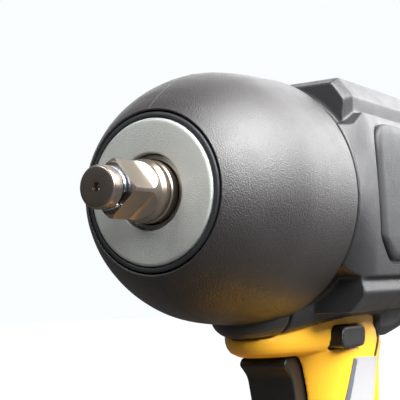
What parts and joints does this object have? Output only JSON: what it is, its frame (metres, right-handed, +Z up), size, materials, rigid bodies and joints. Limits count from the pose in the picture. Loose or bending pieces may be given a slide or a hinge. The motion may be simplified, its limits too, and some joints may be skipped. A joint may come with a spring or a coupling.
{
  "type": "cordless impact wrench",
  "caption": "Cordless pistol-grip impact wrench with a half-inch square drive, rubber nose boot and slide-on battery.",
  "frame": {"origin": "centre of the battery's flat base, on which the tool stands", "axes": "+X forwards along the anvil, +Y to the tool's left, +Z up"},
  "size_m": [0.2223, 0.086, 0.2582],
  "materials": {
    "rubber_grey": "fine-grained moulded rubber",
    "cover_grey": "fine-grained moulded plastic",
    "yellow_plastic": "satin moulded plastic",
    "black_plastic": "satin moulded plastic",
    "black_rubber": "matt overmoulded rubber",
    "blasted_steel": "bead-blasted",
    "warm_steel": "satin, warm nickel tone",
    "blued_steel": "polished, bluish",
    "gear_steel": "ground and oiled",
    "bearing_steel": "polished",
    "case_aluminium": "black anodised",
    "bronze": "sintered, satin",
    "lamination": "stacked laminations",
    "board_green": "solder-masked board",
    "lens_clear": "clear",
    "screw_black": "black oxide",
    "cell_wrap": null
  },
  "bodies": {
    "housing": {"nose_ring": "blasted_steel", "nose_boot": "rubber_grey", "hammer_case": "case_aluminium", "anvil_bushing": "bronze", "ring_gear": "gear_steel", "gearcase_plate": "case_aluminium", "camshaft_bearing": "bearing_steel", "stator": "lamination", "sensor_board": "board_green", "front_rotor_bearing": "bearing_steel", "rear_rotor_bearing": "bearing_steel", "rear_cap": "black_plastic", "rear_cap_screw_1": "screw_black", "rear_cap_screw_2": "screw_black", "rear_cap_screw_3": "screw_black", "rear_cap_screw_4": "screw_black", "left_shell": "yellow_plastic", "right_shell": "yellow_plastic", "left_cover": "cover_grey", "right_cover": "cover_grey", "left_grip": "black_rubber", "right_grip": "black_rubber", "handle_screw_1": "screw_black", "handle_screw_2": "screw_black", "handle_screw_3": "screw_black", "trigger_switch": "black_plastic", "trigger_spring": "bearing_steel", "work_light_lens": "lens_clear", "control_module": "black_plastic", "terminal_block": "black_plastic"},
    "anvil": {"anvil": "warm_steel", "hog_ring": "blued_steel", "hog_ring_o_ring": "black_rubber"},
    "camshaft": {"camshaft": "gear_steel", "planet_pin_1": "bearing_steel", "planet_pin_2": "bearing_steel", "planet_pin_3": "bearing_steel", "cam_ball_left": "bearing_steel", "cam_ball_right": "bearing_steel", "hammer_spring": "blued_steel"},
    "spring_seat": {"thrust_washer": "bearing_steel"},
    "hammer": {"hammer": "gear_steel"},
    "planet_1": {"planet_gear_1": "gear_steel"},
    "planet_2": {"planet_gear_2": "gear_steel"},
    "planet_3": {"planet_gear_3": "gear_steel"},
    "rotor": {"rotor_shaft": "gear_steel", "rotor_core": "lamination", "cooling_fan": "black_plastic"},
    "trigger": {"trigger": "black_plastic"},
    "direction": {"direction_button": "black_plastic"},
    "mode": {"mode_button": "black_plastic"},
    "battery": {"battery_lower_case": "black_plastic", "battery_upper_case": "black_plastic", "battery_cells": "cell_wrap"},
    "battery_latch": {"battery_release": "yellow_plastic"}
  },
  "joints": [
    {"name": "anvil_spin", "type": "hinge", "parent": "housing", "child": "anvil", "pos_m": [0.1, 0, 0.212], "axis": [1, 0, 0], "continuous": true},
    {"name": "camshaft_spin", "type": "hinge", "parent": "housing", "child": "camshaft", "pos_m": [0.1, 0, 0.212], "axis": [1, 0, 0], "continuous": true},
    {"name": "hammer_slide", "type": "slide", "parent": "camshaft", "child": "spring_seat", "axis": [1, 0, 0], "range_m": [-0.009, 0], "stiffness_N_per_m": 8000, "springref_m": 0.008, "deforming": ["hammer_spring"]},
    {"name": "hammer_turn", "type": "hinge", "parent": "spring_seat", "child": "hammer", "pos_m": [0.1, 0, 0.212], "axis": [1, 0, 0], "range_deg": [0, 38]},
    {"name": "planet_1_spin", "type": "hinge", "parent": "camshaft", "child": "planet_1", "pos_m": [0.009, 0, 0.2288], "axis": [1, 0, 0], "continuous": true},
    {"name": "planet_2_spin", "type": "hinge", "parent": "camshaft", "child": "planet_2", "pos_m": [0.009, -0.01455, 0.2036], "axis": [1, 0, 0], "continuous": true},
    {"name": "planet_3_spin", "type": "hinge", "parent": "camshaft", "child": "planet_3", "pos_m": [0.009, 0.01455, 0.2036], "axis": [1, 0, 0], "continuous": true},
    {"name": "rotor_spin", "type": "hinge", "parent": "housing", "child": "rotor", "pos_m": [0.1, 0, 0.212], "axis": [1, 0, 0], "continuous": true},
    {"name": "trigger_pull", "type": "slide", "parent": "housing", "child": "trigger", "axis": [-1, 0, 0], "range_m": [0, 0.008], "stiffness_N_per_m": 900, "springref_m": -0.004, "deforming": ["trigger_spring"]},
    {"name": "direction_slide", "type": "slide", "parent": "housing", "child": "direction", "axis": [0, 1, 0], "range_m": [-0.003, 0.003]},
    {"name": "mode_press", "type": "slide", "parent": "housing", "child": "mode", "axis": [0, 0, -1], "range_m": [0, 0.0008], "stiffness_N_per_m": 900, "springref_m": -0.001},
    {"name": "battery_slide", "type": "slide", "parent": "housing", "child": "battery", "axis": [1, 0, 0], "range_m": [0, 0.092]},
    {"name": "battery_release_press", "type": "slide", "parent": "battery", "child": "battery_latch", "axis": [0, 0, -1], "range_m": [0, 0.003], "stiffness_N_per_m": 900, "springref_m": -0.002}
  ],
  "couplings": [
    {"joint": "camshaft_spin", "follows": "anvil_spin", "ratio": 1},
    {"joint": "rotor_spin", "follows": "anvil_spin", "ratio": 4.6667},
    {"joint": "hammer_turn", "follows": "hammer_slide", "rad_per_m": -73.684},
    {"joint": "planet_1_spin", "follows": "anvil_spin", "ratio": -2.75},
    {"joint": "planet_2_spin", "follows": "anvil_spin", "ratio": -2.75},
    {"joint": "planet_3_spin", "follows": "anvil_spin", "ratio": -2.75}
  ]
}
